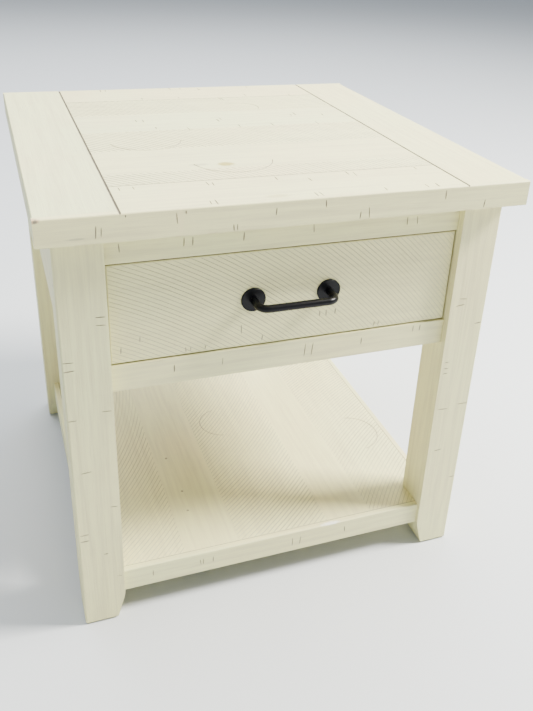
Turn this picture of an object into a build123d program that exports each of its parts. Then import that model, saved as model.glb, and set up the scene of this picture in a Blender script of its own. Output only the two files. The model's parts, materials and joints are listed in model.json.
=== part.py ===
"""Farmhouse side table with one drawer and a low shelf, in millimetres.

The front of the table faces -Y, +X is to the right and +Z is up. The origin is
on the floor, under the middle of the table top.
"""
from build123d import *
import os

os.makedirs("parts", exist_ok=True)

# ---------------------------------------------------------------- overall sizes
TOP_WIDTH = 610.0
TOP_DEPTH = 612.0
TABLE_HEIGHT = 614.0
TOP_THICKNESS = 32.0
OVERHANG_SIDE = 17.0
OVERHANG_FRONT = 24.5
OVERHANG_BACK = 10.0
ARRIS = 2.0                     # eased corner of the thick painted pieces

# legs
LEG = 57.0                      # square section
FOOT_TAPER_IN = 11.5            # how far each inner face comes in at the floor
FOOT_TAPER_HEIGHT = 40.0
FOOT_TAPER_ROUND = 60.0         # radius where the taper runs into the straight leg
GLIDE_DIAMETER = 22.0
GLIDE_THICKNESS = 3.0
GLIDE_PIN_DIAMETER = 3.0
GLIDE_PIN_LENGTH = 12.0

# rails and aprons
RAIL_THICKNESS = 22.0
RAIL_SETBACK = 11.0             # from the legs' outer faces
RAIL_TOP_HEIGHT = 41.5
DRAWER_OPENING_HEIGHT = 134.0
RAIL_BOTTOM_HEIGHT = 36.5
TENON_THICKNESS = 10.0
TENON_SHOULDER = 6.0            # above and below a rail's tenon
APRON_SHOULDER = 12.0           # above and below an apron's tenon
TENON_GAP = 5.0                 # wood left between two tenons that meet in a leg
GLUE_GAP = 1.0                  # past the end of each tenon
SHELF_TENON_SHOULDER = 1.0      # above a shelf rail's tenon, under the rebate
CLEAT = 20.0                    # square section, under the top
TOP_SCREW_MARGIN = 40.0         # from a leg to the first screw in a cleat
BEARER_HEIGHT = 52.0            # carries the drawer slides

# top boards
LIPPING_THICKNESS = 8.5
END_BOARD_WIDTH = 90.0
CROSS_BOARD_WIDTH = 90.0        # with its lipping
CENTRE_BOARD_WIDTHS = (97.0, 97.0, 97.0, 97.0, 44.0)    # rear to front
TONGUE_THICKNESS = 6.0
TONGUE_WIDTH = 20.0
TONGUE_END = 12.0               # stops short of the lippings
GROOVE_END_BOARD = 1.5          # half the V-groove along an end board
GROOVE_CROSS_BOARD = 0.8        # half the finer groove along a cross board

# shelf
SHELF_CLEAR = 40.0              # under the rails, from the legs' ends
SHELF_RAIL_HEIGHT = 35.0
SHELF_RAIL_THICKNESS = 22.0
SHELF_SETBACK_FRONT = 6.5
SHELF_SETBACK_SIDE = 13.0
SHELF_BOARD_THICKNESS = 18.0
SHELF_LIP = 8.5                 # rim of the rail left outside the boards
SHELF_BOARD_WIDTHS = (126.5, 79.0, 142.0, 71.0, 114.5)  # left to right
SHELF_GROOVE = 0.8
BATTEN_WIDTH = 45.0

# drawer
DRAWER_GAP = 2.0                # round the inset front
DRAWER_RECESS = 1.7             # front set behind the rails
DRAWER_FACE_THICKNESS = 19.0
DRAWER_FACE_EASE = 1.0          # chamfer round the front
FACE_SCREW_SIDE = 30.0          # face screws: in from the box's sides,
FACE_SCREW_LOW = 25.0           # up from its bottom
FACE_SCREW_HIGH = 20.0          # and down from its top
DRAWER_WALL = 12.0
DRAWER_BOX_HEIGHT = 100.0
DRAWER_BOX_LIFT = 7.5           # above the front's lower edge
DRAWER_BACK_CLEARANCE = 40.0
HOUSING_DEPTH = 4.0
BOTTOM_THICKNESS = 6.0
BOTTOM_GROOVE = 5.0
BOTTOM_LIFT = 8.0

# slides: three nested steel channels on each side
SLIDE_THICKNESS = 12.7
SLIDE_HEIGHT = 35.0
SLIDE_STEEL = 1.2
SLIDE_RACE = 2.7                # ball race between two members' flanges
SLIDE_STEP = 2.2                # between two members' webs, clears a screw head
SLIDE_FLANGE_BACK = 1.8         # a flange stops this far short of the next web
SLIDE_FRONT_GAP = 2.0           # behind the drawer front
SLIDE_END_MARGIN = 23.0         # slide shorter than the drawer box

# pull
PULL_CENTRES = 101.6
PULL_DIAMETER = 10.0
PULL_STANDOFF = 30.0            # drawer front to bar axis
PULL_BEND = 12.0                # on the bar's axis
ROSETTE_DIAMETER = 32.0
ROSETTE_THICKNESS = 2.5
ROSETTE_EDGE = 0.8

# screws: shank, head and the loose hole round the shank
SCREW_CLEARANCE = 0.2
LEG_SCREW_MARGIN = 8.0          # slide's end to its first screw, in the leg
BOX_SCREW_MARGIN = 25.0         # slide's end to its first screw, in the drawer side
TOP_SCREW = dict(shank=4.0, head=8.0, head_height=2.5, length=38.0)
FACE_SCREW = dict(shank=4.0, head=8.0, head_height=2.5, length=24.0)
SLIDE_SCREW = dict(shank=3.5, head=7.0, head_height=1.8, length=14.0)
BOX_SCREW = dict(shank=3.5, head=7.0, head_height=1.8, length=10.0)
PULL_THREAD = 10.0              # screw's grip in the bar
PULL_SCREW = dict(shank=4.0, head=9.0, head_height=2.6,
                  length=DRAWER_WALL + DRAWER_FACE_THICKNESS + ROSETTE_THICKNESS + PULL_THREAD)

# ------------------------------------------------------------- derived positions
top_right, top_back = TOP_WIDTH / 2, TOP_DEPTH / 2
top_front = -top_back
z_under = TABLE_HEIGHT - TOP_THICKNESS
z_leg = GLIDE_THICKNESS

leg_x = top_right - OVERHANG_SIDE               # outer faces at +/- leg_x
leg_front = top_front + OVERHANG_FRONT
leg_back = top_back - OVERHANG_BACK
bay_x = leg_x - LEG                             # inner faces at +/- bay_x
bay_front, bay_back = leg_front + LEG, leg_back - LEG

rail_front = leg_front + RAIL_SETBACK
apron_x = leg_x - RAIL_SETBACK
apron_back = leg_back - RAIL_SETBACK
z_open_top = z_under - RAIL_TOP_HEIGHT
z_open_bottom = z_open_top - DRAWER_OPENING_HEIGHT
z_rail = z_open_bottom - RAIL_BOTTOM_HEIGHT     # underside of rail and aprons
tenon = LEG - RAIL_SETBACK - RAIL_THICKNESS / 2 - TENON_THICKNESS / 2 - TENON_GAP

shelf_bottom = z_leg + SHELF_CLEAR
shelf_top = shelf_bottom + SHELF_RAIL_HEIGHT
shelf_front = leg_front + SHELF_SETBACK_FRONT
shelf_back = leg_back - SHELF_SETBACK_FRONT
shelf_x = leg_x - SHELF_SETBACK_SIDE
shelf_tenon = (LEG - SHELF_SETBACK_SIDE - SHELF_RAIL_THICKNESS / 2
               - TENON_THICKNESS / 2 - TENON_GAP)

face_front = rail_front + DRAWER_RECESS
face_back = face_front + DRAWER_FACE_THICKNESS
face_bottom, face_top = z_open_bottom + DRAWER_GAP, z_open_top - DRAWER_GAP
box_x = bay_x - SLIDE_THICKNESS                 # drawer box's outer faces
box_back = apron_back - RAIL_THICKNESS - DRAWER_BACK_CLEARANCE
box_bottom = face_bottom + DRAWER_BOX_LIFT
box_top = box_bottom + DRAWER_BOX_HEIGHT
slide_front = face_back + SLIDE_FRONT_GAP
slide_back = slide_front + (box_back - face_back) - SLIDE_END_MARGIN
slide_z = (box_bottom + box_top) / 2
pull_z = (face_bottom + face_top) / 2

SIDES = (("left", -1), ("right", 1))


def span(a, b):
    """A pair of limits in rising order."""
    return (min(a, b), max(a, b))


def block(x, y, z, mode=Mode.ADD):
    """A plain length of wood, or its cut, between two limits on each axis."""
    size = [hi - lo for lo, hi in (x, y, z)]
    with Locations(tuple((lo + hi) / 2 for lo, hi in (x, y, z))):
        Box(*size, mode=mode)


def screws(seat, points, screw, mode=Mode.ADD):
    """Pan-head screws driven down from the seat plane, or their clearance holes."""
    cut = mode == Mode.SUBTRACT
    with BuildSketch(seat) as shanks:
        with Locations(*points):
            Circle(screw["shank"] / 2 + (SCREW_CLEARANCE if cut else 0))
    extrude(shanks.sketch, amount=-screw["length"], mode=mode)
    if not cut:
        with BuildSketch(seat) as heads:
            with Locations(*points):
                Circle(screw["head"] / 2)
        extrude(heads.sketch, amount=screw["head_height"])


# ------------------------------------------------------------- joinery positions
def mortise(x, y, z):
    """A mortise between limits given in any order."""
    block(span(*x), span(*y), span(*z), Mode.SUBTRACT)


tenon_x = span(apron_x - RAIL_THICKNESS / 2 - TENON_THICKNESS / 2,
               apron_x - RAIL_THICKNESS / 2 + TENON_THICKNESS / 2)
shelf_tenon_x = span(shelf_x - SHELF_RAIL_THICKNESS / 2 - TENON_THICKNESS / 2,
                     shelf_x - SHELF_RAIL_THICKNESS / 2 + TENON_THICKNESS / 2)
rail_mid = rail_front + RAIL_THICKNESS / 2
apron_mid = apron_back - RAIL_THICKNESS / 2
shelf_front_mid = shelf_front + SHELF_RAIL_THICKNESS / 2
shelf_back_mid = shelf_back - SHELF_RAIL_THICKNESS / 2

z_top_rail = (z_open_top + TENON_SHOULDER, z_under - TENON_SHOULDER)
z_low_rail = (z_rail + TENON_SHOULDER, z_open_bottom - TENON_SHOULDER)
z_apron = (z_rail + APRON_SHOULDER, z_under - APRON_SHOULDER)
z_shelf = (shelf_bottom + TENON_SHOULDER, shelf_top - SHELF_BOARD_THICKNESS - SHELF_TENON_SHOULDER)

top_screw_y = (bay_front + TOP_SCREW_MARGIN, (bay_front + bay_back) / 2,
               bay_back - TOP_SCREW_MARGIN)


def side_plane(side, x):
    """A plane across X at distance x, its normal towards the table's middle."""
    return Plane(origin=(side * x, 0, 0), x_dir=(0, 1, 0), z_dir=(-side, 0, 0))


def slide_points(side, margin):
    """Screw centres on a slide's web, in side_plane, whose own Y is down on the right."""
    return [(y, slide_z * -side) for y in (
        slide_front + margin, (slide_front + slide_back) / 2, slide_back - margin)]


def cabinet_screws(side, mode=Mode.ADD):
    """Screws from the cabinet member outwards: one in the leg, two in the bearer."""
    screws(side_plane(side, bay_x - SLIDE_STEEL), slide_points(side, LEG_SCREW_MARGIN),
           SLIDE_SCREW, mode)


def box_screws(side, mode=Mode.ADD):
    """Screws from the drawer member inwards, into the drawer's side."""
    screws(side_plane(-side, -(box_x + SLIDE_STEEL)), slide_points(-side, BOX_SCREW_MARGIN),
           BOX_SCREW, mode)


# ------------------------------------------------------------------------- legs
# Solid square posts. Both inner faces taper in at the foot, and the mortises for
# the rails, aprons and shelf rails are cut in those same two faces.
def leg_profile(plane, outer, inner):
    """The leg's outline in one upright plane, with the foot's taper."""
    towards = 1 if inner > outer else -1
    toe = inner - towards * FOOT_TAPER_IN
    with BuildSketch(plane) as profile:
        with BuildLine():
            Polyline((outer, z_leg), (toe, z_leg), (inner, z_leg + FOOT_TAPER_HEIGHT),
                     (inner, z_under), (outer, z_under), close=True)
        make_face()
        knee = profile.vertices().filter_by_position(
            Axis.Y, z_leg + FOOT_TAPER_HEIGHT - 1, z_leg + FOOT_TAPER_HEIGHT + 1)
        fillet(knee, FOOT_TAPER_ROUND)
    return profile.sketch


for row, y_outer, y_inner, y_rail, y_shelf in (
        ("front", leg_front, bay_front, rail_mid, shelf_front_mid),
        ("back", leg_back, bay_back, apron_mid, shelf_back_mid)):
    inward = 1 if row == "front" else -1
    for name, side in SIDES:
        with BuildPart() as leg:
            extrude(leg_profile(Plane.XZ, side * leg_x, side * bay_x),
                    amount=TOP_DEPTH, both=True)
            extrude(leg_profile(Plane.YZ, y_outer, y_inner),
                    amount=TOP_WIDTH, both=True, mode=Mode.INTERSECT)
            outer_edges = leg.edges().filter_by(Axis.Z).sort_by(
                SortBy.LENGTH)[-4:]
            chamfer(outer_edges.sort_by(
                lambda e: (e.center() - Vector(side * leg_x, y_outer, 0)).length)[:1], ARRIS)
            # rails across the table
            x_end = side * (bay_x + tenon + GLUE_GAP)
            y_tenon = (y_rail - TENON_THICKNESS / 2, y_rail + TENON_THICKNESS / 2)
            for z in ((z_top_rail, z_low_rail) if row == "front" else (z_apron,)):
                mortise((side * bay_x, x_end), y_tenon, z)
            mortise((side * bay_x, side * (bay_x + shelf_tenon + GLUE_GAP)),
                    (y_shelf - TENON_THICKNESS / 2, y_shelf + TENON_THICKNESS / 2), z_shelf)
            # aprons and shelf rails from front to back
            mortise([side * x for x in tenon_x],
                    (y_inner, y_inner - inward * (tenon + GLUE_GAP)), z_apron)
            mortise([side * x for x in shelf_tenon_x],
                    (y_inner, y_inner - inward * (shelf_tenon + GLUE_GAP)), z_shelf)
            cabinet_screws(side, Mode.SUBTRACT)
            # pin hole of the foot glide
            with BuildSketch(Plane.XY.offset(z_leg)):
                with Locations((side * (leg_x - (LEG - FOOT_TAPER_IN) / 2),
                                y_outer + inward * (LEG - FOOT_TAPER_IN) / 2)):
                    Circle(GLIDE_PIN_DIAMETER / 2 + SCREW_CLEARANCE)
            extrude(amount=GLIDE_PIN_LENGTH, mode=Mode.SUBTRACT)
        leg.part.label = f"leg_{row}_{name}"
        export_step(leg.part, f"parts/leg_{row}_{name}.step")

# Nylon glides with a moulded pin, pressed into the end of each leg.
with BuildPart() as foot_glides:
    glide_in = (LEG - FOOT_TAPER_IN) / 2         # foot's middle, from its outer faces
    glide_points = [(side * (leg_x - glide_in), y) for _, side in SIDES
                    for y in (leg_front + glide_in, leg_back - glide_in)]
    with BuildSketch():
        with Locations(*glide_points):
            Circle(GLIDE_DIAMETER / 2)
    extrude(amount=GLIDE_THICKNESS)
    with BuildSketch(Plane.XY.offset(GLIDE_THICKNESS)):
        with Locations(*glide_points):
            Circle(GLIDE_PIN_DIAMETER / 2)
    extrude(amount=GLIDE_PIN_LENGTH)
foot_glides.part.label = "foot_glides"
export_step(foot_glides.part, "parts/foot_glides.step")

# ------------------------------------------------------------- rails and aprons
# The two front rails frame the drawer. Each has a tenon at both ends.
for label, z_low, z_high, z_tenon in (
        ("rail_front_top", z_open_top, z_under, z_top_rail),
        ("rail_front_bottom", z_rail, z_open_bottom, z_low_rail)):
    with BuildPart() as rail:
        block((-bay_x, bay_x), (rail_front, rail_front + RAIL_THICKNESS), (z_low, z_high))
        block((-bay_x - tenon, bay_x + tenon),
              (rail_mid - TENON_THICKNESS / 2, rail_mid + TENON_THICKNESS / 2), z_tenon)
    rail.part.label = label
    export_step(rail.part, f"parts/{label}.step")

# The back apron closes the drawer space from leg to leg.
with BuildPart() as apron_rear:
    block((-bay_x, bay_x), (apron_back - RAIL_THICKNESS, apron_back), (z_rail, z_under))
    block((-bay_x - tenon, bay_x + tenon),
          (apron_mid - TENON_THICKNESS / 2, apron_mid + TENON_THICKNESS / 2), z_apron)
apron_rear.part.label = "apron_back"
export_step(apron_rear.part, "parts/apron_back.step")

for name, side in SIDES:
    # Side apron, tenoned into the front and back legs.
    with BuildPart() as apron:
        block(span(side * apron_x, side * (apron_x - RAIL_THICKNESS)),
              (bay_front, bay_back), (z_rail, z_under))
        block(span(*[side * x for x in tenon_x]), (bay_front - tenon, bay_back + tenon), z_apron)
    apron.part.label = f"apron_{name}"
    export_step(apron.part, f"parts/apron_{name}.step")

    # Cleat glued inside the apron, level with its top edge, for the top's screws.
    apron_inner = apron_x - RAIL_THICKNESS
    cleat_seat = Plane.XY.offset(z_under - CLEAT).rotated((180, 0, 0))
    top_points = [(side * (apron_inner - CLEAT / 2), -y) for y in top_screw_y]
    with BuildPart() as cleat:
        block(span(side * apron_inner, side * (apron_inner - CLEAT)),
              (bay_front, bay_back), (z_under - CLEAT, z_under))
        screws(cleat_seat, top_points, TOP_SCREW, Mode.SUBTRACT)
    cleat.part.label = f"cleat_{name}"
    export_step(cleat.part, f"parts/cleat_{name}.step")

    # Bearer that packs the slide out from the apron to the legs' inner faces.
    with BuildPart() as bearer:
        block(span(side * apron_inner, side * bay_x), (bay_front, bay_back),
              (slide_z - BEARER_HEIGHT / 2, slide_z + BEARER_HEIGHT / 2))
        cabinet_screws(side, Mode.SUBTRACT)
    bearer.part.label = f"slide_bearer_{name}"
    export_step(bearer.part, f"parts/slide_bearer_{name}.step")

# Pan-head screws up through both cleats into the top.
with BuildPart() as top_screws:
    screws(cleat_seat, [(side * (apron_inner - CLEAT / 2), -y)
                        for _, side in SIDES for y in top_screw_y], TOP_SCREW)
top_screws.part.label = "top_screws"
export_step(top_screws.part, "parts/top_screws.step")

# -------------------------------------------------------------------- table top
# Two end boards run front to back. Between them lie a rear cross board, five
# centre boards and a front cross board, held to the end boards by loose tongues.
# A lipping closes the front and the back over the whole width.
board_back = top_back - LIPPING_THICKNESS
board_front = -board_back
field_x = top_right - END_BOARD_WIDTH           # end-board grooves at +/- field_x
field_y = top_back - CROSS_BOARD_WIDTH          # cross-board grooves at +/- field_y
z_top = (z_under, TABLE_HEIGHT)
z_tongue = (z_under + (TOP_THICKNESS - TONGUE_THICKNESS) / 2,
            z_under + (TOP_THICKNESS + TONGUE_THICKNESS) / 2)
tongue_y = (board_front + TONGUE_END, board_back - TONGUE_END)


def tongue(side, mode=Mode.ADD):
    """The loose tongue at one end-board joint, or the groove that holds it."""
    block((side * field_x - TONGUE_WIDTH / 2, side * field_x + TONGUE_WIDTH / 2),
          tongue_y, z_tongue, mode)


def top_edge(part, **where):
    """A part's top-face edges that lie on x= or y=."""
    edges = part.edges().filter_by_position(Axis.Z, TABLE_HEIGHT - 0.01, TABLE_HEIGHT + 0.01)
    for axis, value in where.items():
        edges = edges.filter_by_position(Axis.X if axis == "x" else Axis.Y,
                                         value - 0.01, value + 0.01)
    return edges


for name, side in SIDES:
    with BuildPart() as end_board:
        block(span(side * field_x, side * top_right), (board_front, board_back), z_top)
        tongue(side, Mode.SUBTRACT)
        screws(cleat_seat, [(side * (apron_inner - CLEAT / 2), -y) for y in top_screw_y],
               TOP_SCREW, Mode.SUBTRACT)
        chamfer(top_edge(end_board, x=side * field_x), GROOVE_END_BOARD)
        fillet(top_edge(end_board, x=side * top_right), ARRIS)
    end_board.part.label = f"top_board_{name}"
    export_step(end_board.part, f"parts/top_board_{name}.step")

    with BuildPart() as loose_tongue:
        tongue(side)
    loose_tongue.part.label = f"top_tongue_{name}"
    export_step(loose_tongue.part, f"parts/top_tongue_{name}.step")

board_scale = 2 * field_y / sum(CENTRE_BOARD_WIDTHS)
seams = [field_y]
for width in CENTRE_BOARD_WIDTHS:
    seams.append(seams[-1] - width * board_scale)
cross_boards = [("top_board_rear", board_back, field_y)]
cross_boards += [(f"top_board_centre_{i + 1}", seams[i], seams[i + 1])
                 for i in range(len(CENTRE_BOARD_WIDTHS))]
cross_boards += [("top_board_front", -field_y, board_front)]

for label, y_rear, y_near in cross_boards:
    with BuildPart() as cross_board:
        block((-field_x, field_x), (y_near, y_rear), z_top)
        for _, side in SIDES:
            tongue(side, Mode.SUBTRACT)
            chamfer(top_edge(cross_board, x=side * field_x), GROOVE_END_BOARD)
        # the finer groove only where a cross board meets the centre boards
        for y in (y_rear, y_near):
            if abs(abs(y) - field_y) < 0.01:
                chamfer(top_edge(cross_board, y=y), GROOVE_CROSS_BOARD)
    cross_board.part.label = label
    export_step(cross_board.part, f"parts/{label}.step")

for label, y_inner, y_outer in (("top_lipping_front", board_front, top_front),
                                ("top_lipping_back", board_back, top_back)):
    with BuildPart() as lipping:
        block((-top_right, top_right), span(y_inner, y_outer), z_top)
        fillet(top_edge(lipping, y=y_outer).filter_by(Axis.X), ARRIS)
        # the end-board grooves run out through the lipping's top
        with BuildSketch(Plane.XZ):
            with BuildLine():
                Polyline((-GROOVE_END_BOARD, TABLE_HEIGHT),
                         (0, TABLE_HEIGHT - GROOVE_END_BOARD),
                         (GROOVE_END_BOARD, TABLE_HEIGHT), close=True)
            groove = make_face(mode=Mode.PRIVATE)
            with Locations((-field_x, 0), (field_x, 0)):
                add(groove)
        extrude(amount=TOP_DEPTH, both=True, mode=Mode.SUBTRACT)
    lipping.part.label = label
    export_step(lipping.part, f"parts/{label}.step")

# ------------------------------------------------------------------------ shelf
# A frame of four rebated rails between the legs, filled with five boards that
# run front to back and lie on a batten.
z_board = (shelf_top - SHELF_BOARD_THICKNESS, shelf_top)
panel_x = shelf_x - SHELF_LIP
panel_front, panel_back = shelf_front + SHELF_LIP, shelf_back - SHELF_LIP


def shelf_panel(mode=Mode.SUBTRACT):
    """The space that the boards fill, taken out of the rails as their rebate."""
    block((-panel_x, panel_x), (panel_front, panel_back), z_board, mode)


for label, y_outer, y_inner, y_mid in (
        ("shelf_rail_front", shelf_front, shelf_front + SHELF_RAIL_THICKNESS, shelf_front_mid),
        ("shelf_rail_back", shelf_back, shelf_back - SHELF_RAIL_THICKNESS, shelf_back_mid)):
    with BuildPart() as shelf_rail:
        block((-bay_x, bay_x), span(y_outer, y_inner), (shelf_bottom, shelf_top))
        shelf_panel()
        block((-bay_x - shelf_tenon, bay_x + shelf_tenon),
              (y_mid - TENON_THICKNESS / 2, y_mid + TENON_THICKNESS / 2), z_shelf)
        long_edges = shelf_rail.edges().filter_by(Axis.X)
        fillet(long_edges.filter_by_position(Axis.Y, y_outer - 0.01, y_outer + 0.01)
               .sort_by(Axis.Z)[-1:], ARRIS)
    shelf_rail.part.label = label
    export_step(shelf_rail.part, f"parts/{label}.step")

for name, side in SIDES:
    with BuildPart() as shelf_rail:
        block(span(side * shelf_x, side * (shelf_x - SHELF_RAIL_THICKNESS)),
              (bay_front, bay_back), (shelf_bottom, shelf_top))
        shelf_panel()
        block(span(*[side * x for x in shelf_tenon_x]),
              (bay_front - shelf_tenon, bay_back + shelf_tenon), z_shelf)
        long_edges = shelf_rail.edges().filter_by(Axis.Y)
        fillet(long_edges.filter_by_position(Axis.X, side * shelf_x - 0.01, side * shelf_x + 0.01)
               .sort_by(Axis.Z)[-1:], ARRIS)
    shelf_rail.part.label = f"shelf_rail_{name}"
    export_step(shelf_rail.part, f"parts/shelf_rail_{name}.step")

shelf_scale = 2 * panel_x / sum(SHELF_BOARD_WIDTHS)
x_left = -panel_x
for i, width in enumerate(SHELF_BOARD_WIDTHS):
    x_right = x_left + width * shelf_scale
    with BuildPart() as shelf_board:
        block((x_left, x_right), (panel_front, panel_back), z_board)
        chamfer(shelf_board.edges().filter_by(Axis.X).group_by(Axis.Z)[-1], SHELF_GROOVE)
        for x in (x_left, x_right):
            if abs(abs(x) - panel_x) < 0.01:
                side_edges = shelf_board.edges().filter_by(Axis.Y)
                chamfer(side_edges.filter_by_position(Axis.X, x - 0.01, x + 0.01)
                        .sort_by(Axis.Z)[-1:], SHELF_GROOVE)
        # the outer boards are notched round the four legs
        for _, side in SIDES:
            for y in ((leg_front, bay_front), (bay_back, leg_back)):
                block(span(side * bay_x, side * leg_x), y, z_board, Mode.SUBTRACT)
    shelf_board.part.label = f"shelf_board_{i + 1}"
    export_step(shelf_board.part, f"parts/shelf_board_{i + 1}.step")
    x_left = x_right

with BuildPart() as shelf_batten:
    rail_inner = shelf_x - SHELF_RAIL_THICKNESS
    y_mid = (bay_front + bay_back) / 2
    block((-rail_inner, rail_inner), (y_mid - BATTEN_WIDTH / 2, y_mid + BATTEN_WIDTH / 2),
          (shelf_bottom, shelf_top - SHELF_BOARD_THICKNESS))
shelf_batten.part.label = "shelf_batten"
export_step(shelf_batten.part, "parts/shelf_batten.step")

# ----------------------------------------------------------------------- drawer
# A box of four thin walls and a plywood bottom, with a thick inset front.
box_inner_x = box_x - DRAWER_WALL
box_front_in, box_back_in = face_back + DRAWER_WALL, box_back - DRAWER_WALL
z_box = (box_bottom, box_top)
end_x = box_inner_x + HOUSING_DEPTH             # front and back reach into the sides
pull_points = [(x, pull_z) for x in (-PULL_CENTRES / 2, PULL_CENTRES / 2)]
face_points = [(side * (box_inner_x - FACE_SCREW_SIDE), z) for _, side in SIDES
               for z in (box_bottom + FACE_SCREW_LOW, box_top - FACE_SCREW_HIGH)]
# seats on the box front's inner face, its normal towards the back
drawer_seat = Plane(origin=(0, box_front_in, 0), x_dir=(-1, 0, 0), z_dir=(0, 1, 0))


def flipped(points):
    """Points in drawer_seat, whose own X runs the other way."""
    return [(-x, z) for x, z in points]


def drawer_bottom_panel(mode=Mode.ADD):
    """The plywood bottom, or the groove for it in the four walls."""
    z_low = box_bottom + BOTTOM_LIFT
    block((-box_inner_x - BOTTOM_GROOVE, box_inner_x + BOTTOM_GROOVE),
          (box_front_in - BOTTOM_GROOVE, box_back_in + BOTTOM_GROOVE),
          (z_low, z_low + BOTTOM_THICKNESS), mode)


def drawer_end(y_low, y_high, mode=Mode.ADD):
    """The box front or back, or its housing in the sides."""
    block((-end_x, end_x), (y_low, y_high), z_box, mode)


with BuildPart() as drawer_face:
    block((-bay_x + DRAWER_GAP, bay_x - DRAWER_GAP), (face_front, face_back),
          (face_bottom, face_top))
    chamfer(drawer_face.faces().sort_by(Axis.Y)[0].edges(), DRAWER_FACE_EASE)
    screws(drawer_seat, flipped(pull_points), PULL_SCREW, Mode.SUBTRACT)
    screws(drawer_seat, flipped(face_points), FACE_SCREW, Mode.SUBTRACT)
drawer_face.part.label = "drawer_face"
export_step(drawer_face.part, "parts/drawer_face.step")

with BuildPart() as drawer_box_front:
    drawer_end(face_back, box_front_in)
    drawer_bottom_panel(Mode.SUBTRACT)
    screws(drawer_seat, flipped(pull_points), PULL_SCREW, Mode.SUBTRACT)
    screws(drawer_seat, flipped(face_points), FACE_SCREW, Mode.SUBTRACT)
drawer_box_front.part.label = "drawer_box_front"
export_step(drawer_box_front.part, "parts/drawer_box_front.step")

with BuildPart() as drawer_box_back:
    drawer_end(box_back_in, box_back)
    drawer_bottom_panel(Mode.SUBTRACT)
drawer_box_back.part.label = "drawer_box_back"
export_step(drawer_box_back.part, "parts/drawer_box_back.step")

with BuildPart() as drawer_bottom:
    drawer_bottom_panel()
drawer_bottom.part.label = "drawer_bottom"
export_step(drawer_bottom.part, "parts/drawer_bottom.step")

for name, side in SIDES:
    with BuildPart() as drawer_side:
        block(span(side * box_inner_x, side * box_x), (face_back, box_back), z_box)
        drawer_end(face_back, box_front_in, Mode.SUBTRACT)
        drawer_end(box_back_in, box_back, Mode.SUBTRACT)
        drawer_bottom_panel(Mode.SUBTRACT)
        box_screws(side, Mode.SUBTRACT)
    drawer_side.part.label = f"drawer_side_{name}"
    export_step(drawer_side.part, f"parts/drawer_side_{name}.step")

with BuildPart() as drawer_face_screws:
    screws(drawer_seat, flipped(face_points), FACE_SCREW)
drawer_face_screws.part.label = "drawer_face_screws"
export_step(drawer_face_screws.part, "parts/drawer_face_screws.step")

# ------------------------------------------------------------------------- pull
# One round bar bent at both ends, on two flat rosettes, held by screws from
# inside the drawer.
post_y = face_front - ROSETTE_THICKNESS
bar_y = face_front - PULL_STANDOFF
with BuildPart() as pull_bar:
    with BuildLine(Plane.XY.offset(pull_z)) as pull_path:
        FilletPolyline((-PULL_CENTRES / 2, post_y), (-PULL_CENTRES / 2, bar_y),
                       (PULL_CENTRES / 2, bar_y), (PULL_CENTRES / 2, post_y),
                       radius=PULL_BEND)
    with BuildSketch(Plane(origin=pull_path.line @ 0, z_dir=pull_path.line % 0)):
        Circle(PULL_DIAMETER / 2)
    sweep()
    screws(drawer_seat, flipped(pull_points), PULL_SCREW, Mode.SUBTRACT)
pull_bar.part.label = "pull_bar"
export_step(pull_bar.part, "parts/pull_bar.step")

with BuildPart() as pull_rosettes:
    with BuildSketch(Plane.XZ.offset(-face_front)):
        with Locations(*pull_points):
            Circle(ROSETTE_DIAMETER / 2)
            Circle(PULL_SCREW["shank"] / 2 + SCREW_CLEARANCE, mode=Mode.SUBTRACT)
    extrude(amount=ROSETTE_THICKNESS)
    rims = pull_rosettes.edges().filter_by(GeomType.CIRCLE).filter_by(
        lambda e: e.radius > PULL_DIAMETER / 2)
    chamfer(rims.group_by(Axis.Y)[0], ROSETTE_EDGE)
pull_rosettes.part.label = "pull_rosettes"
export_step(pull_rosettes.part, "parts/pull_rosettes.step")

with BuildPart() as pull_screws:
    screws(drawer_seat, flipped(pull_points), PULL_SCREW)
pull_screws.part.label = "pull_screws"
export_step(pull_screws.part, "parts/pull_screws.step")

# ----------------------------------------------------------------------- slides
# Each slide is three channels, one inside the other: the cabinet member on the
# bearer, the middle member, and the drawer member on the drawer's side.
member_half = [SLIDE_HEIGHT / 2]
for _ in range(2):
    member_half.append(member_half[-1] - SLIDE_STEEL - SLIDE_RACE)


def channel(side, web, mouth, half_height):
    """A steel channel: its web's outer face at x = web, its flanges up to x = mouth."""
    inwards = 1 if mouth > web else -1
    steel = inwards * SLIDE_STEEL
    with BuildSketch(Plane.XZ.offset(-slide_front)) as section:
        with BuildLine():
            Polyline([(side * x, slide_z + z) for x, z in (
                (web, -half_height), (mouth, -half_height),
                (mouth, -half_height + SLIDE_STEEL),
                (web + steel, -half_height + SLIDE_STEEL),
                (web + steel, half_height - SLIDE_STEEL),
                (mouth, half_height - SLIDE_STEEL),
                (mouth, half_height), (web, half_height))], close=True)
        make_face()
    extrude(section.sketch, amount=-(slide_back - slide_front))


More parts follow.
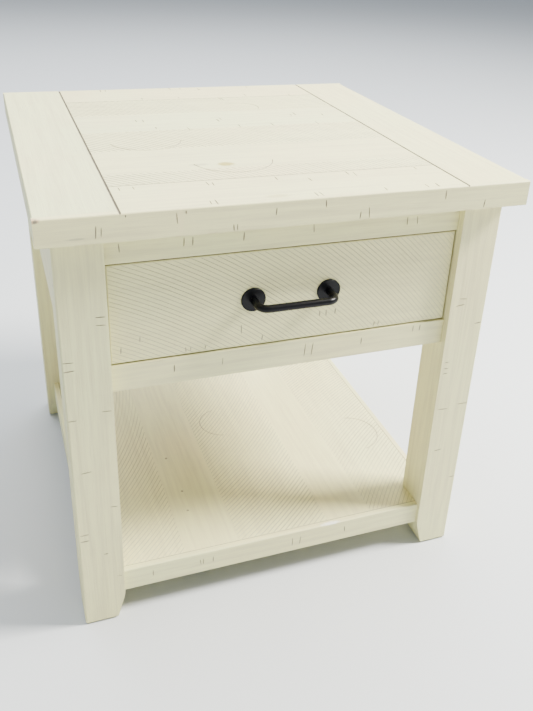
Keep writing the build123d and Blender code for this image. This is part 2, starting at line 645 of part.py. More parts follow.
for name, side in SIDES:
    cabinet_web = bay_x
    middle_web = bay_x - SLIDE_STEEL - SLIDE_STEP
    drawer_web = box_x
    with BuildPart() as cabinet_member:
        channel(side, cabinet_web, drawer_web + SLIDE_STEEL + SLIDE_FLANGE_BACK, member_half[0])
        cabinet_screws(side, Mode.SUBTRACT)
    cabinet_member.part.label = f"slide_{name}_cabinet"
    export_step(cabinet_member.part, f"parts/slide_{name}_cabinet.step")

    with BuildPart() as middle_member:
        channel(side, middle_web, drawer_web + SLIDE_STEEL + SLIDE_FLANGE_BACK, member_half[1])
    middle_member.part.label = f"slide_{name}_middle"
    export_step(middle_member.part, f"parts/slide_{name}_middle.step")

    with BuildPart() as drawer_member:
        channel(side, drawer_web, middle_web - SLIDE_STEEL - SLIDE_FLANGE_BACK, member_half[2])
        box_screws(side, Mode.SUBTRACT)
    drawer_member.part.label = f"slide_{name}_drawer"
    export_step(drawer_member.part, f"parts/slide_{name}_drawer.step")

with BuildPart() as slide_screws_cabinet:
    for _, side in SIDES:
        cabinet_screws(side)
slide_screws_cabinet.part.label = "slide_screws_cabinet"
export_step(slide_screws_cabinet.part, "parts/slide_screws_cabinet.step")

with BuildPart() as slide_screws_drawer:
    for _, side in SIDES:
        box_screws(side)
slide_screws_drawer.part.label = "slide_screws_drawer"
export_step(slide_screws_drawer.part, "parts/slide_screws_drawer.step")
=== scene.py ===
import json
import math
import random

import bpy
from mathutils import Matrix, Vector

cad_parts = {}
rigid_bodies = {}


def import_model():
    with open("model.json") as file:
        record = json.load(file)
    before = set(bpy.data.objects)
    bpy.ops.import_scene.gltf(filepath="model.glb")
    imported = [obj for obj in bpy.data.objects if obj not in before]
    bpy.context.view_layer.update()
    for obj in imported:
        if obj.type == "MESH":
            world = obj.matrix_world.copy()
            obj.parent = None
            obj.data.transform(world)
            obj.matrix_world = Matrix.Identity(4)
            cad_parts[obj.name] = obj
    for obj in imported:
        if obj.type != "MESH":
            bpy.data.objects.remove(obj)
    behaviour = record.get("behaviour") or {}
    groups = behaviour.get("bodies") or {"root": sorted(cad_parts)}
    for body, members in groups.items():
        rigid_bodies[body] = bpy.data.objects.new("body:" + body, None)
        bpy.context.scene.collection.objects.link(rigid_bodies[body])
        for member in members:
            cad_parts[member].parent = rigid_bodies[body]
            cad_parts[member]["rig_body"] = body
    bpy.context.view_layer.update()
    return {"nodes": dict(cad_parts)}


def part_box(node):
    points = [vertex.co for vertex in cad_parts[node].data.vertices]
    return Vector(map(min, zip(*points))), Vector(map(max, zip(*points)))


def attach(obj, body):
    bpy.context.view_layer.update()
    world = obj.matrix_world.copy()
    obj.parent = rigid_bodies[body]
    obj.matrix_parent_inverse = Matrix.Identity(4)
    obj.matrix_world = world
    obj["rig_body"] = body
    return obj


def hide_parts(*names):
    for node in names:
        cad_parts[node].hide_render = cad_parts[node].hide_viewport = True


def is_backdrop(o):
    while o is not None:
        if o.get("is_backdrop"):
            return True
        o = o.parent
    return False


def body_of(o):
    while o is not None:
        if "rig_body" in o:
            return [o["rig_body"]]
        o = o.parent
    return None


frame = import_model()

MM = 0.001

# ------------------------------------------------------------------------ camera
# Stands in front of the table, a little to its left, and looks down on the top. It is
# yawed to the right, pitched down, then rolled about its own line of sight.
CAMERA_PLACE, CAMERA_LENS, CAMERA_SHIFT = (-0.33502, -1.10321, 0.91225), 40.0, (-0.0298, -0.0725)
LOOK_YAW, LOOK_PITCH, LOOK_ROLL = math.radians(21.613), math.radians(-26.694), math.radians(2.931)
ahead = Vector((math.sin(LOOK_YAW) * math.cos(LOOK_PITCH),
                math.cos(LOOK_YAW) * math.cos(LOOK_PITCH), math.sin(LOOK_PITCH)))
level = Vector((math.cos(LOOK_YAW), -math.sin(LOOK_YAW), 0))
upright = level.cross(ahead)
across = level * math.cos(LOOK_ROLL) + upright * math.sin(LOOK_ROLL)
upwards = upright * math.cos(LOOK_ROLL) - level * math.sin(LOOK_ROLL)
camera = bpy.data.objects.new("camera", bpy.data.cameras.new("camera"))
camera.matrix_world = (Matrix.Translation(CAMERA_PLACE)
                       @ Matrix((across, upwards, -ahead)).transposed().to_4x4())
camera.data.lens = CAMERA_LENS
camera.data.shift_x, camera.data.shift_y = CAMERA_SHIFT
bpy.context.scene.collection.objects.link(camera)
bpy.context.scene.camera = camera

# -------------------------------------------------------------------------- legs
# Four square pine posts, tapered inside at the foot. The arrises are eased with
# sandpaper and the faces chopped across the grain before the cream paint goes on.
CREAM = (0.790, 0.755, 0.385)
CREAM_GREEN = (0.750, 0.770, 0.405)
CREAM_PINK = (0.800, 0.725, 0.385)
# Grain streaks; this colour is also the paler part of the painted shade in chop marks and scars.
STREAK_AND_CUT_SHADE = (0.520, 0.465, 0.270)
RUBBED_WOOD = (0.520, 0.370, 0.215)
# Painted shade in chop marks and scars; also the paler part of the painted shade in grooves and
# gaps.
CUT_SHADE = (0.300, 0.265, 0.185)
# Painted shade in the V-grooves and on the drawer front's edges in its gap; also the colour of a
# few real dark spots.
GROOVE_SHADE_AND_SPOT_DARK = (0.200, 0.175, 0.120)
# How far each pattern is squeezed along the grain, which draws it out that way.
RING_STRETCH, PORE_STRETCH, ROPE_STRETCH = (0.045, 1, 1), (0.022, 1, 1), (0.06, 1, 1)


def group(name, inputs, outputs):
    """An empty shader node group with its sockets, and its input and output nodes."""
    tree = bpy.data.node_groups.new(name, "ShaderNodeTree")
    for socket, kind, value in inputs:
        made = tree.interface.new_socket(socket, in_out="INPUT", socket_type=kind)
        if value is not None:
            made.default_value = value
    for socket, kind in outputs:
        tree.interface.new_socket(socket, in_out="OUTPUT", socket_type=kind)
    return tree, tree.nodes.new("NodeGroupInput"), tree.nodes.new("NodeGroupOutput")


def node(tree, kind, links=None, **settings):
    """One node, with its settings, its plain socket values and its incoming links."""
    made = tree.nodes.new(kind)
    for key, value in settings.items():
        setattr(made, key, value)
    for socket, value in (links or {}).items():
        if isinstance(value, bpy.types.NodeSocket):
            tree.links.new(value, made.inputs[socket])
        else:
            made.inputs[socket].default_value = value
    return made


def math_node(tree, operation, a, b=0.0, clamp=False):
    """The result of a sum on sockets or plain numbers."""
    return node(tree, "ShaderNodeMath", {0: a, 1: b}, operation=operation,
                use_clamp=clamp).outputs[0]


FLOAT, VECTOR = "NodeSocketFloat", "NodeSocketVector"

# Pine grain: long rings and fine pores, its length along the vector's X. In each Map
# Range node here, sockets 1 and 2 are the range taken in, and 3 and 4 the range given out.
grain, g_in, g_out = group(
    "pine_grain", [("Vector", VECTOR, None), ("Rings", FLOAT, 150.0), ("Pores", FLOAT, 900.0)],
    [("Ring", FLOAT), ("Pore", FLOAT)])
squeeze = node(grain, "ShaderNodeVectorMath", {0: g_in.outputs["Vector"], 1: RING_STRETCH},
               operation="MULTIPLY").outputs[0]
rings = node(grain, "ShaderNodeTexNoise", {"Vector": squeeze, "Scale": g_in.outputs["Rings"],
                                           "Detail": 4.0, "Roughness": 0.62, "Distortion": 0.35})
squeeze_fine = node(grain, "ShaderNodeVectorMath", {0: g_in.outputs["Vector"], 1: PORE_STRETCH},
                    operation="MULTIPLY").outputs[0]
pores = node(grain, "ShaderNodeTexNoise", {"Vector": squeeze_fine,
                                           "Scale": g_in.outputs["Pores"], "Detail": 2.0})
ring_mask = node(grain, "ShaderNodeMapRange", {"Value": rings.outputs["Fac"], 1: 0.40, 2: 0.66})
pore_mask = node(grain, "ShaderNodeMapRange", {"Value": pores.outputs["Fac"], 1: 0.55, 2: 0.72})
grain.links.new(ring_mask.outputs[0], g_out.inputs["Ring"])
grain.links.new(pore_mask.outputs[0], g_out.inputs["Pore"])

# Rubbed arrises: where a rounded normal leaves the flat one, broken up by noise.
rub, r_in, r_out = group(
    "rubbed_arris", [("Vector", VECTOR, None), ("Width", FLOAT, 0.0025), ("Amount", FLOAT, 0.5)],
    [("Mask", FLOAT)])
soft_normal = node(rub, "ShaderNodeBevel", {"Radius": r_in.outputs["Width"]}, samples=4)
flat_normal = node(rub, "ShaderNodeNewGeometry")
agree = node(rub, "ShaderNodeVectorMath", {0: soft_normal.outputs[0],
             1: flat_normal.outputs["Normal"]}, operation="DOT_PRODUCT").outputs["Value"]
edge = node(rub, "ShaderNodeMapRange", {"Value": math_node(rub, "SUBTRACT", 1.0, agree),
                                        1: 0.01, 2: 0.16})
patches = node(rub, "ShaderNodeTexNoise", {"Vector": r_in.outputs["Vector"], "Scale": 38.0,
                                           "Detail": 5.0, "Roughness": 0.7})
kept = node(rub, "ShaderNodeMapRange", {"Value": math_node(
    rub, "ADD", patches.outputs["Fac"], math_node(rub, "MULTIPLY", r_in.outputs["Amount"], 0.3)),
    1: 0.66, 2: 0.80})
rub.links.new(math_node(rub, "MULTIPLY", edge.outputs[0], kept.outputs[0], clamp=True),
              r_out.inputs["Mask"])

# Brushed paint: slow drifts of tint, and the shallow ropes that a brush leaves.
brush, b_in, b_out = group(
    "brushed_paint", [("Vector", VECTOR, None), ("Patch", FLOAT, 5.0)],
    [("Warm", FLOAT), ("Cool", FLOAT), ("Ropes", FLOAT), ("Dust", FLOAT)])
for socket, scale, detail, low, high, offset in (
        ("Warm", 1.0, 3.0, 0.46, 0.66, 0.0), ("Cool", 0.8, 2.0, 0.48, 0.68, 7.3),
        ("Dust", 9.0, 6.0, 0.52, 0.74, 3.1)):
    moved = node(brush, "ShaderNodeVectorMath", {0: b_in.outputs["Vector"], 1: (offset,) * 3},
                 operation="ADD").outputs[0]
    drift = node(brush, "ShaderNodeTexNoise", {
        "Vector": moved, "Detail": detail,
        "Scale": math_node(brush, "MULTIPLY", b_in.outputs["Patch"], scale)})
    mask = node(brush, "ShaderNodeMapRange", {"Value": drift.outputs["Fac"], 1: low, 2: high})
    brush.links.new(mask.outputs[0], b_out.inputs[socket])
long_way = node(brush, "ShaderNodeVectorMath", {0: b_in.outputs["Vector"], 1: ROPE_STRETCH},
                operation="MULTIPLY").outputs[0]
ropes = node(brush, "ShaderNodeTexNoise", {"Vector": long_way, "Scale": 420.0, "Detail": 3.0})
brush.links.new(ropes.outputs["Fac"], b_out.inputs["Ropes"])

# Spot: a soft-edged, ragged stain round one place. It fades out at about its half sizes,
# because noise is added to the distance before it is ranged.
spot, s_in, s_out = group(
    "spot", [("Vector", VECTOR, None), ("Place", VECTOR, None), ("Spread", VECTOR, None)],
    [("Mask", FLOAT)])
ragged = node(spot, "ShaderNodeTexNoise", {"Vector": s_in.outputs["Vector"], "Scale": 260.0,
                                           "Detail": 3.0})
from_place = node(spot, "ShaderNodeVectorMath", {0: s_in.outputs["Vector"],
                  1: s_in.outputs["Place"]}, operation="SUBTRACT").outputs[0]
reach = node(spot, "ShaderNodeVectorMath", {0: from_place, 1: s_in.outputs["Spread"]},
             operation="DIVIDE").outputs[0]
reach = node(spot, "ShaderNodeVectorMath", {0: reach}, operation="LENGTH").outputs["Value"]
reach = math_node(spot, "ADD", reach, math_node(spot, "MULTIPLY", ragged.outputs["Fac"], 0.9))
inside = node(spot, "ShaderNodeMapRange", {"Value": reach, 1: 1.55, 2: 1.05})
spot.links.new(inside.outputs[0], s_out.inputs["Mask"])

TURN_TO_GRAIN = {"X": (0, 0, 0), "Y": (0, 0, math.radians(-90)), "Z": (0, math.radians(90), 0)}


def grain_vector(tree, along, shift):
    """Object coordinates turned so that the grain lies along X, moved to a board's own wood."""
    place = node(tree, "ShaderNodeTexCoord")
    return node(tree, "ShaderNodeMapping", {
        "Vector": place.outputs["Object"], "Location": (shift, shift * 0.37, shift * 0.71),
        "Rotation": TURN_TO_GRAIN[along]}).outputs[0]


def mix(tree, factor, a, b):
    """Colour a turned into colour b by a factor, each a socket or a plain value.

    A colour mix takes its factor, a and b at sockets 0, 6 and 7, and gives its result at 2."""
    made = node(tree, "ShaderNodeMix", data_type="RGBA")
    for socket, value in ((0, factor), (6, a), (7, b)):
        if isinstance(value, bpy.types.NodeSocket):
            tree.links.new(value, made.inputs[socket])
        else:
            made.inputs[socket].default_value = value if socket == 0 else (*value, 1)
    return made.outputs[2]


def over(tree, tint, mask, strength, colour):
    """A tint with a colour laid over it where a mask says, at some strength."""
    return mix(tree, math_node(tree, "MULTIPLY", mask, strength), tint, colour)


def new_material(name):
    """A material with its node tree and its shader."""
    made = bpy.data.materials.new(name)
    made.use_nodes = True
    return made, made.node_tree, made.node_tree.nodes["Principled BSDF"]


# How strongly the paint's tints drift, and how dark its pores, dust and worn arrises are.
DRIFT, PORE_DARK, DUST_DARK, WORN_THROUGH = 0.55, 0.16, 0.10, 0.75


def cream_paint(name, along, shift=0.0, base=CREAM, rubbed=0.5, streaks=0.42, spots=()):
    """Thin satin paint on pine: the grain shows through, and arrises are rubbed to the wood.

    Each spot is (place in mm, half sizes in mm, colour, strength)."""
    made, tree, shader = new_material(name)
    wood = grain_vector(tree, along, shift)
    lines = node(tree, "ShaderNodeGroup", node_tree=grain)
    worn = node(tree, "ShaderNodeGroup", node_tree=rub)
    coat = node(tree, "ShaderNodeGroup", node_tree=brush)
    for each in (lines, worn, coat):
        tree.links.new(wood, each.inputs["Vector"])
    worn.inputs["Amount"].default_value = rubbed
    tint = base
    for mask, strength, colour in (
            (coat.outputs["Warm"], DRIFT, CREAM_PINK), (coat.outputs["Cool"], DRIFT, CREAM_GREEN),
            (lines.outputs["Ring"], streaks, STREAK_AND_CUT_SHADE), (lines.outputs["Pore"], PORE_DARK, STREAK_AND_CUT_SHADE),
            (coat.outputs["Dust"], DUST_DARK, STREAK_AND_CUT_SHADE),
            (worn.outputs["Mask"], WORN_THROUGH, RUBBED_WOOD)):
        tint = over(tree, tint, mask, strength, colour)
    for place, spread, colour, strength in spots:
        mark = node(tree, "ShaderNodeGroup", {
            "Vector": node(tree, "ShaderNodeTexCoord").outputs["Object"],
            "Place": Vector(place) * MM, "Spread": Vector(spread) * MM}, node_tree=spot)
        tint = over(tree, tint, mark.outputs["Mask"], strength, colour)
    tree.links.new(tint, shader.inputs["Base Color"])
    rough = node(tree, "ShaderNodeMapRange", {"Value": coat.outputs["Ropes"], 3: 0.42, 4: 0.60})
    tree.links.new(rough.outputs[0], shader.inputs["Roughness"])
    height = math_node(tree, "ADD", math_node(tree, "MULTIPLY", lines.outputs["Ring"], -0.5),
                       math_node(tree, "MULTIPLY", coat.outputs["Ropes"], 0.35))
    height = math_node(tree, "SUBTRACT", height,
                       math_node(tree, "MULTIPLY", lines.outputs["Pore"], 0.35))
    relief = node(tree, "ShaderNodeBump", {"Height": height, "Strength": 0.55,
                                           "Distance": 0.00035})
    tree.links.new(relief.outputs[0], shader.inputs["Normal"])
    return made


def shade_paint(name, deep, shallow):
    """Paint for the bottom of a cut, a groove or a gap, darkened as painted shade."""
    made, tree, shader = new_material(name)
    coat = node(tree, "ShaderNodeGroup", {"Vector": grain_vector(tree, "X", 0.4), "Patch": 60.0},
                node_tree=brush)
    tree.links.new(over(tree, deep, coat.outputs["Warm"], 0.7, shallow),
                   shader.inputs["Base Color"])
    shader.inputs["Roughness"].default_value = 0.7
    return made


# Painted shade in the chop marks and scars, mottled from a dark colour to a grain-streak one.
cut_shade_paint = shade_paint("glazed_chop", CUT_SHADE, STREAK_AND_CUT_SHADE)
# Painted shade in the V-grooves and on the drawer front's edges in its gap.
groove_and_gap_shade = shade_paint("glazed_groove", GROOVE_SHADE_AND_SPOT_DARK, CUT_SHADE)

HALF_SQUARE = math.sqrt(0.5)      # either part of a 45 degree normal


def only(piece):
    """Makes one object the selected and active one."""
    bpy.ops.object.select_all(action="DESELECT")
    piece.select_set(True)
    bpy.context.view_layer.objects.active = piece


bpy.ops.object.select_all(action="DESELECT")
bpy.ops.mesh.primitive_uv_sphere_add(segments=8, ring_count=6, radius=1)
chop_shape = bpy.context.object.data
bpy.data.objects.remove(bpy.context.object)
CHOP_WIDTH, CHOP_DEPTH = 1.4 * MM, 1.0 * MM
CHOP_LEAN = 6                   # degrees, the most that a chop is turned from its grid
CHOP_SPACING = 22.0             # mm between scattered marks
AXES = {"X": Vector((1, 0, 0)), "Y": Vector((0, 1, 0)), "Z": Vector((0, 0, 1))}


def chops(name, along, facing, marks, width=CHOP_WIDTH, depth=CHOP_DEPTH):
    """A cutter for chop marks: slim spindles lying in a face, each (x, y, z, length) in mm."""
    made = []
    rng = random.Random(name)
    for x, y, z, length in marks:
        mesh = chop_shape.copy()
        run, out = AXES[along], AXES[facing]
        turn = Matrix((run, out.cross(run), out)).transposed().to_4x4()
        lean = Matrix.Rotation(math.radians(rng.uniform(-CHOP_LEAN, CHOP_LEAN)), 4, out)
        size = Matrix.Diagonal((length / 2 * MM, width / 2 * rng.uniform(0.8, 1.3),
                                depth * rng.uniform(0.7, 1.2), 1))
        mesh.transform(Matrix.Translation(Vector((x, y, z)) * MM) @ lean @ turn @ size)
        piece = bpy.data.objects.new(name, mesh)
        bpy.context.scene.collection.objects.link(piece)
        made.append(piece)
    only(made[0])
    for piece in made:
        piece.select_set(True)
    bpy.ops.object.join()
    cutter = bpy.context.object
    cutter.data.materials.clear()
    # The cutter's faces pass painted shade on to the cut faces.
    cutter.data.materials.append(cut_shade_paint)
    bpy.ops.object.mode_set(mode="EDIT")
    bpy.ops.mesh.select_all(action="SELECT")
    bpy.ops.mesh.normals_make_consistent(inside=False)
    bpy.ops.object.mode_set(mode="OBJECT")
    return cutter


WELD, LONG_ARRIS = 0.002 * MM, 60 * MM      # points this close join, edges this long are eased
LEVEL, SHARP = math.radians(0.3), math.radians(70)


def carve(node_name, body, finish, cutters=(), arris=0.0, dark=None):
    """A painted piece from its plain blank: long arrises eased, then the marks cut out.

    The faces that dark(face) picks get painted shade: the sides of V-grooves, or the drawer front's
    edges in its gap."""
    mesh = frame["nodes"][node_name].data.copy()
    piece = bpy.data.objects.new(node_name + "_finished", mesh)
    bpy.context.scene.collection.objects.link(piece)
    only(piece)
    bpy.ops.mesh.customdata_custom_splitnormals_clear()
    mesh.materials.clear()
    mesh.materials.append(finish)
    bpy.ops.object.mode_set(mode="EDIT")
    bpy.ops.mesh.select_all(action="SELECT")
    bpy.ops.mesh.remove_doubles(threshold=WELD)
    bpy.ops.mesh.dissolve_limited(angle_limit=LEVEL)
    bpy.ops.mesh.faces_shade_flat()
    if arris:
        bpy.ops.mesh.select_all(action="DESELECT")
        bpy.ops.mesh.select_mode(type="EDGE")
        bpy.ops.mesh.edges_select_sharp(sharpness=SHARP)
        bpy.ops.object.mode_set(mode="OBJECT")
        for line in mesh.edges:
            a, b = (mesh.vertices[i].co for i in line.vertices)
            line.select = line.select and (a - b).length > LONG_ARRIS
        bpy.ops.object.mode_set(mode="EDIT")
        bpy.ops.mesh.bevel(offset=arris, segments=2, affect="EDGES", clamp_overlap=True,
                           loop_slide=False)
        bpy.ops.mesh.select_mode(type="VERT")
    bpy.ops.object.mode_set(mode="OBJECT")
    if dark:
        mesh.materials.append(groove_and_gap_shade)
        for face in mesh.polygons:
            face.material_index = int(dark(face))
    for cutter in cutters:
        cut = piece.modifiers.new("cut", "BOOLEAN")
        cut.operation, cut.solver, cut.object = "DIFFERENCE", "EXACT", cutter
        # The cut faces take the cutter's material, which is painted shade in chops, scars and saw
        # kerfs.
        cut.material_mode = "TRANSFER"
        cut.use_hole_tolerant = node_name.startswith("top_lipping")
        bpy.ops.object.modifier_apply(modifier=cut.name)
    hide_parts(node_name)
    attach(piece, body)
    return piece


def v_groove(reach):
    """Picks the 45 degree sides of the V-grooves on a flat top, as far out as reach."""
    return lambda face: any(
        abs(abs(face.normal[i]) - HALF_SQUARE) < 0.02 and face.normal.z > 0.5
        and abs(face.center[i]) < reach for i in (0, 1))


EASED = 0.8 * MM
POST, POST_EDGE = 57, 4         # mm, a leg's section, and how far its chops keep from an arris
front_y, back_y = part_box("leg_front_left")[0].y / MM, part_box("leg_back_left")[1].y / MM
left_x, right_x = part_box("leg_front_left")[0].x / MM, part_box("leg_front_right")[1].x / MM
leg_front_marks = [
    (-240, front_y, 481, 12.5), (-240, front_y, 470.6, 12.5), (-280.7, front_y, 426, 14.6),
    (-280.7, front_y, 414.3, 14.6), (-240, front_y, 351, 12.5), (-281.8, front_y, 344.3, 12.5),
    (-270.3, front_y, 263.5, 14.6), (-239, front_y, 201, 10.4), (-279.7, front_y, 162.3, 12.5),
    (-279.7, front_y, 151.8, 12.5), (-238, front_y, 78.1, 8.3), (-253.6, front_y, 122.7, 6.3),
    (249.5, front_y, 441.4, 12.5), (246.4, front_y, 431.8, 14.6), (280.8, front_y, 399.8, 12.5),
    (239.1, front_y, 341.4, 8.3), (239.1, front_y, 331, 8.3), (239.1, front_y, 322.7, 8.3),
    (244.3, front_y, 260.2, 18.8), (277.6, front_y, 264.3, 18.8), (247.4, front_y, 185.2, 12.5),
    (280.8, front_y, 126.8, 12.5)]


def scattered(seed, count, draw):
    """Chop marks where none is set out: draw(rng) gives one mark's place and length."""
    rng = random.Random(seed)
    marks = []
    while len(marks) < count:
        mark = draw(rng)
        if all((Vector(mark[:3]) - Vector(other[:3])).length > CHOP_SPACING for other in marks):
            marks.append(mark)
    return marks


leg_side_marks = scattered("leg sides", 44, lambda r: (
    r.choice((left_x, right_x)),
    r.choice((front_y, back_y - POST)) + r.uniform(POST_EDGE, POST - POST_EDGE),
    r.uniform(60, 570), r.uniform(8, 16)))
leg_back_marks = scattered("leg backs", 22, lambda r: (
    r.choice((left_x, right_x - POST)) + r.uniform(POST_EDGE, POST - POST_EDGE), back_y,
    r.uniform(60, 570), r.uniform(8, 16)))
leg_cuts = [chops("leg_front_chops", "X", "Y", leg_front_marks),
            chops("leg_back_chops", "X", "Y", leg_back_marks),
            chops("leg_side_chops", "Y", "X", leg_side_marks)]
for count, post in enumerate(("front_left", "front_right", "back_left", "back_right")):
    carve(f"leg_{post}", "frame", cream_paint(f"cream_leg_{post}", "Z", 0.9 + 1.7 * count),
          leg_cuts, EASED)

# --------------------------------------------------------------- rails and aprons
# Pine rails tenoned between the legs, set back from them. The two front rails
# frame the drawer, and plain aprons close the sides and the back.
rail_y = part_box("rail_front_top")[0].y / MM
rail_marks = ([(x, rail_y, 560, 12) for x in (-213, -138, -127.6, -65.1, 153.7, 168.3)]
              + [(24.5, rail_y, 562, 12)]
              + [(x, rail_y, 391.4, 11) for x in (-152.6, -90.1, 104.5)]
              + [(x, rail_y, 390, 20) for x in (22.4, 32.8)]
              + [(x, rail_y, 399, 10) for x in (182.8, 193.3)])
rail_cuts = [chops("rail_chops", "Z", "Y", rail_marks)]
for count, label in enumerate(("rail_front_top", "rail_front_bottom")):
    carve(label, "frame", cream_paint(f"cream_{label}", "X", 11.3 + 2.1 * count), rail_cuts, EASED)
apron_x, apron_y = -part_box("apron_left")[0].x / MM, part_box("apron_back")[1].y / MM
side_marks = scattered("aprons", 26, lambda r: (
    r.choice((-1, 1)) * apron_x, r.uniform(-210, 225), r.uniform(385, 565),
    r.uniform(9, 17)))
rear_marks = scattered("back apron", 14, lambda r: (
    r.uniform(-215, 215), apron_y, r.uniform(385, 565), r.uniform(9, 17)))
apron_cuts = [chops("side_apron_chops", "Z", "X", side_marks),
              chops("back_apron_chops", "Z", "Y", rear_marks)]
for count, (label, along) in enumerate((("apron_left", "Y"), ("apron_right", "Y"),
                                        ("apron_back", "X"))):
    carve(label, "frame", cream_paint(f"cream_{label}", along, 16.4 + 1.9 * count),
          apron_cuts, EASED)

# ----------------------------------------------------------------------- table top
# Nine pine boards under one coat of paint. Alternate centre boards keep the arcs
# of a circular saw, and the whole top is chopped and scarred by hand.
TOP_Z, TOP_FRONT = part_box("top_board_left")[1].z / MM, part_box("top_lipping_front")[0].y / MM
TOP_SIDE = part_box("top_board_right")[1].x / MM
edge_marks = [
    (-241.5, 594.8, 15.4), (-235.8, 594.8, 11.5), (-209.3, 610.6, 3), (-153.8, 603.4, 13.5),
    (-143.6, 609.6, 4), (-88.8, 586.7, 8.5), (-84.6, 586.7, 8.5), (-38.5, 601.5, 9.6),
    (22.7, 606.3, 9.2), (68.1, 588, 9.6), (79.6, 590.5, 14.6), (182.7, 604.8, 12.3),
    (240.4, 589, 11.5)]
top_marks = [
    (-146.7, 296.2), (-138.3, 296.2), (-25.8, 298.3), (-7.1, 296.2), (24.2, 287.9),
    (115.8, 294.1), (-88.3, 227.4), (-25.8, 227.4), (40.8, 210.8), (44.5, 206.0), (92.9, 231.6),
    (172.1, 223.3), (-125.8, 81.6), (-115.4, 79.5), (3.3, 73.3), (-3.0, 64.9), (122.1, 79.5),
    (130.4, 85.8), (174.2, 73.3), (-105, 35.8), (-59.2, 23.3), (20, 27.4), (72.1, 27.4),
    (145, 23.3), (-202.9, -226.7), (-186.3, -226.7), (-98.8, -228.8), (-92.5, -230.9),
    (-11.3, -226.7), (28.3, -239.2), (84.6, -224.7), (92.9, -230.9), (182.5, -224.7),
    (-112.5, -293.4), (-105.8, -293.4), (15, -293.4), (21.3, -293.4), (105.4, -293.4),
    (161.7, -293.4), (176.3, -293.4)]
sizes = random.Random("top marks")
top_cuts = [
    chops("top_chops", "Y", "Z", [(x, y, TOP_Z, sizes.uniform(10, 19)) for x, y in top_marks]),
    chops("top_edge_chops", "Z", "Y", [(x, TOP_FRONT, z, long) for x, z, long in edge_marks]),
    chops("top_back_chops", "Z", "Y", scattered("top back", 13, lambda r: (
        r.uniform(-290, 290), -TOP_FRONT, r.uniform(588, 608), r.uniform(8, 14)))),
    chops("top_side_chops", "Z", "X", scattered("top sides", 26, lambda r: (
        r.choice((-1, 1)) * TOP_SIDE, r.uniform(-285, 285), r.uniform(588, 608),
        r.uniform(8, 14))))]
top_face_cut, _, _, top_side_cut = top_cuts
SCAR_WIDTH = 1.3 * MM
SCAR_CUT_OFF = 0.2              # of the radius, how far from its middle the ring is cut off


def ring_scar(x, y, z, radius, keep):
    """A cutter for a turned scar: part of a slim ring, on the side that keep points to."""
    bpy.ops.object.select_all(action="DESELECT")
    bpy.ops.mesh.primitive_torus_add(location=(x * MM, y * MM, z * MM), major_radius=radius * MM,
                                     minor_radius=SCAR_WIDTH / 2, major_segments=72,
                                     minor_segments=8)
    scar = bpy.context.object
    bpy.ops.object.transform_apply(location=True)
    bpy.ops.object.mode_set(mode="EDIT")
    bpy.ops.mesh.select_all(action="SELECT")
    bpy.ops.mesh.bisect(plane_co=(x * MM + keep[0] * radius * SCAR_CUT_OFF * MM,
                                  y * MM + keep[1] * radius * SCAR_CUT_OFF * MM, z * MM),
                        plane_no=(*keep, 0), use_fill=True, clear_inner=True)
    bpy.ops.mesh.select_all(action="SELECT")
    bpy.ops.mesh.normals_make_consistent(inside=False)
    bpy.ops.object.mode_set(mode="OBJECT")
    # The scar's faces pass painted shade on to the cut.
    scar.data.materials.append(cut_shade_paint)
    return scar


top_scars = [ring_scar(-134.2, -26.7, TOP_Z, 50, (0, -1)),
             ring_scar(-42.5, -139.2, TOP_Z, 54, (0, -1)),
             ring_scar(57, 143, TOP_Z, 30, (0.71, 0.71))]

KERF_DEPTH, KERF_LIFT = 0.55 * MM, 0.15 * MM    # below the face, and its lips above it
KERF_POINTS = 3                                 # across one kerf: near lip, valley, far lip
SPARE_TURN = 0.02                               # radians past each end, trimmed off again
ARC_STEP = 1.6                                  # degrees
# Painted shade in the saw kerfs: the kerf valleys take these darker paints, faint on the drawer and
# clearer on the boards.
KERF_SHADE_PALE, KERF_SHADE_DARK = (0.520, 0.490, 0.300), (0.290, 0.270, 0.170)
faint_kerf_shade = cream_paint("cream_in_drawer_saw_marks", "X", 3.3, KERF_SHADE_PALE, 0.0, 0.25)
clear_kerf_shade = cream_paint("cream_in_board_saw_marks", "X", 5.3, KERF_SHADE_DARK, 0.0, 0.25)


